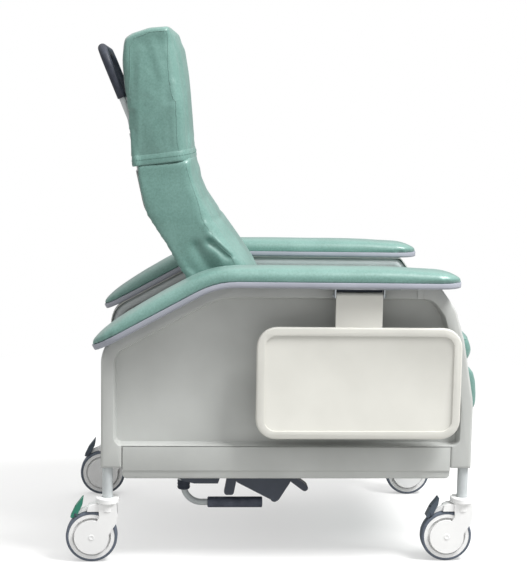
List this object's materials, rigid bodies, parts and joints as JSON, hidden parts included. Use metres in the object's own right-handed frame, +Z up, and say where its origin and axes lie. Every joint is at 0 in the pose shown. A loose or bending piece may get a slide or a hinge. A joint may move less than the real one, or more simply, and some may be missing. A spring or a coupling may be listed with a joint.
{
  "type": "phlebotomy chair",
  "caption": "Wheeled clinical recliner for blood draws: padded arms, fold-down side trays, tall reclining back with push bar, leg rest and braked casters.",
  "frame": {"origin": "on the floor, on the mid plane, midway between the axle lines of the front and rear casters", "axes": "+Z up, the seat faces -Y, +X to the left of someone sitting in it"},
  "size_m": [0.778, 1.0128, 1.298],
  "materials": {
    "tube_steel": "satin powder coat",
    "panel_plastic": "fine grained moulding",
    "arm_plastic": "satin moulding",
    "vinyl": "vinyl upholstery over foam",
    "tray_plastic": "satin moulding",
    "caster_plastic": "gloss moulding",
    "tread": "non-marking tread",
    "pedal_green": "satin moulding",
    "pedal_dark": "satin moulding",
    "bright_steel": "zinc plated",
    "dark_metal": "satin powder coat",
    "foam": "closed cell foam",
    "board": "plywood"
  },
  "bodies": {
    "base": {"front_leg_r": "tube_steel", "front_leg_l": "tube_steel", "rear_leg_r": "tube_steel", "rear_leg_l": "tube_steel", "arm_rail_r": "tube_steel", "arm_rail_l": "tube_steel", "lower_rail_r": "tube_steel", "lower_rail_l": "tube_steel", "cross_tubes": "tube_steel", "side_panel_r": "panel_plastic", "side_panel_l": "panel_plastic", "skirt_r": "panel_plastic", "skirt_l": "panel_plastic", "arm_base_r": "arm_plastic", "arm_base_l": "arm_plastic", "arm_pad_r": "vinyl", "arm_pad_l": "vinyl", "tray_bracket_r": "bright_steel", "tray_bracket_l": "bright_steel", "caster_stems": "bright_steel", "tilt_uprights": "tube_steel", "foot_bracket": "dark_metal", "strut_bracket": "dark_metal"},
    "swivel_rr": {"caster_rr": "caster_plastic"},
    "wheel_rr": {"rim_rr": "caster_plastic", "tyre_rr": "tread"},
    "brake_rr": {"pedal_rr": "pedal_green"},
    "swivel_rl": {"caster_rl": "caster_plastic"},
    "wheel_rl": {"rim_rl": "caster_plastic", "tyre_rl": "tread"},
    "brake_rl": {"pedal_rl": "pedal_dark"},
    "swivel_fr": {"caster_fr": "caster_plastic"},
    "wheel_fr": {"rim_fr": "caster_plastic", "tyre_fr": "tread"},
    "brake_fr": {"pedal_fr": "pedal_dark"},
    "swivel_fl": {"caster_fl": "caster_plastic"},
    "wheel_fl": {"rim_fl": "caster_plastic", "tyre_fl": "tread"},
    "brake_fl": {"pedal_fl": "pedal_dark"},
    "tray_right": {"tray_r": "tray_plastic"},
    "tray_left": {"tray_l": "tray_plastic"},
    "seat": {"seat_rails": "tube_steel", "seat_bars": "tube_steel", "seat_board": "board", "seat_cushion": "vinyl"},
    "back": {"back_tubes": "tube_steel", "back_panel": "panel_plastic", "back_cushion": "vinyl", "head_cushion": "vinyl", "push_bar": "tube_steel", "push_grip": "foam"},
    "slides": {"leg_slides": "bright_steel"},
    "calf": {"calf_board": "board", "calf_pad": "vinyl"},
    "foot": {"foot_board": "board", "foot_pad": "vinyl"},
    "lever": {"foot_lever": "dark_metal", "foot_grip": "foam"},
    "strut_tube": {"strut_cylinder": "dark_metal"},
    "strut_stem": {"strut_rod": "bright_steel"}
  },
  "joints": [
    {"name": "swivel_rr_turn", "type": "hinge", "parent": "base", "child": "swivel_rr", "pos_m": [-0.301, 0.398, 0.14], "axis": [0, 0, 1], "continuous": true},
    {"name": "wheel_rr_roll", "type": "hinge", "parent": "swivel_rr", "child": "wheel_rr", "pos_m": [-0.301, 0.436, 0.0625], "axis": [1, 0, 0], "continuous": true},
    {"name": "brake_rr_press", "type": "hinge", "parent": "swivel_rr", "child": "brake_rr", "pos_m": [-0.301, 0.47475, 0.11813], "axis": [-1, 0, 0], "range_deg": [0, 8]},
    {"name": "swivel_rl_turn", "type": "hinge", "parent": "base", "child": "swivel_rl", "pos_m": [0.301, 0.398, 0.14], "axis": [0, 0, 1], "continuous": true},
    {"name": "wheel_rl_roll", "type": "hinge", "parent": "swivel_rl", "child": "wheel_rl", "pos_m": [0.301, 0.436, 0.0625], "axis": [1, 0, 0], "continuous": true},
    {"name": "brake_rl_press", "type": "hinge", "parent": "swivel_rl", "child": "brake_rl", "pos_m": [0.301, 0.47475, 0.11813], "axis": [-1, 0, 0], "range_deg": [0, 8]},
    {"name": "swivel_fr_turn", "type": "hinge", "parent": "base", "child": "swivel_fr", "pos_m": [-0.301, -0.474, 0.14], "axis": [0, 0, 1], "continuous": true},
    {"name": "wheel_fr_roll", "type": "hinge", "parent": "swivel_fr", "child": "wheel_fr", "pos_m": [-0.301, -0.436, 0.0625], "axis": [1, 0, 0], "continuous": true},
    {"name": "brake_fr_press", "type": "hinge", "parent": "swivel_fr", "child": "brake_fr", "pos_m": [-0.301, -0.39725, 0.11813], "axis": [-1, 0, 0], "range_deg": [0, 8]},
    {"name": "swivel_fl_turn", "type": "hinge", "parent": "base", "child": "swivel_fl", "pos_m": [0.301, -0.474, 0.14], "axis": [0, 0, 1], "continuous": true},
    {"name": "wheel_fl_roll", "type": "hinge", "parent": "swivel_fl", "child": "wheel_fl", "pos_m": [0.301, -0.436, 0.0625], "axis": [1, 0, 0], "continuous": true},
    {"name": "brake_fl_press", "type": "hinge", "parent": "swivel_fl", "child": "brake_fl", "pos_m": [0.301, -0.39725, 0.11813], "axis": [-1, 0, 0], "range_deg": [0, 8]},
    {"name": "tray_right_lift", "type": "hinge", "parent": "base", "child": "tray_right", "pos_m": [-0.355, -0.199, 0.666], "axis": [0, 1, 0], "range_deg": [0, 90]},
    {"name": "tray_left_lift", "type": "hinge", "parent": "base", "child": "tray_left", "pos_m": [0.355, -0.199, 0.666], "axis": [0, -1, 0], "range_deg": [0, 90]},
    {"name": "seat_tilt", "type": "hinge", "parent": "base", "child": "seat", "pos_m": [0, -0.06, 0.42], "axis": [-1, 0, 0], "range_deg": [0, 12]},
    {"name": "back_recline", "type": "hinge", "parent": "seat", "child": "back", "pos_m": [0, 0.152, 0.497], "axis": [-1, 0, 0], "range_deg": [0, 60]},
    {"name": "leg_extend", "type": "slide", "parent": "seat", "child": "slides", "axis": [0, -1, 0], "range_m": [0, 0.0751]},
    {"name": "calf_raise", "type": "hinge", "parent": "slides", "child": "calf", "pos_m": [0, -0.468, 0.4595], "axis": [-1, 0, 0], "range_deg": [0, 87.1]},
    {"name": "foot_unfold", "type": "hinge", "parent": "calf", "child": "foot", "pos_m": [0, -0.465, 0.358], "axis": [-1, 0, 0], "range_deg": [0, 65.1]},
    {"name": "pedal_press", "type": "hinge", "parent": "base", "child": "lever", "pos_m": [-0.2, 0.212, 0.188], "axis": [1, 0, 0], "range_deg": [0, 12], "stiffness_Nm_per_rad": 8, "springref_deg": -17.19},
    {"name": "strut_swing", "type": "hinge", "parent": "base", "child": "strut_tube", "pos_m": [-0.2, -0.016, 0.132], "axis": [-1, 0, 0], "range_deg": [0, 3.8]},
    {"name": "strut_travel", "type": "slide", "parent": "strut_tube", "child": "strut_stem", "axis": [0, 0.4817, 0.8763], "range_m": [-0.039, 0]}
  ],
  "couplings": [
    {"joint": "leg_extend", "follows": "back_recline", "m_per_rad": 0.07162},
    {"joint": "calf_raise", "follows": "back_recline", "ratio": 1.45},
    {"joint": "foot_unfold", "follows": "back_recline", "ratio": 1.0833},
    {"joint": "strut_swing", "follows": "seat_tilt", "ratio": 0.30782},
    {"joint": "strut_travel", "follows": "seat_tilt", "m_per_rad": -0.18479}
  ]
}
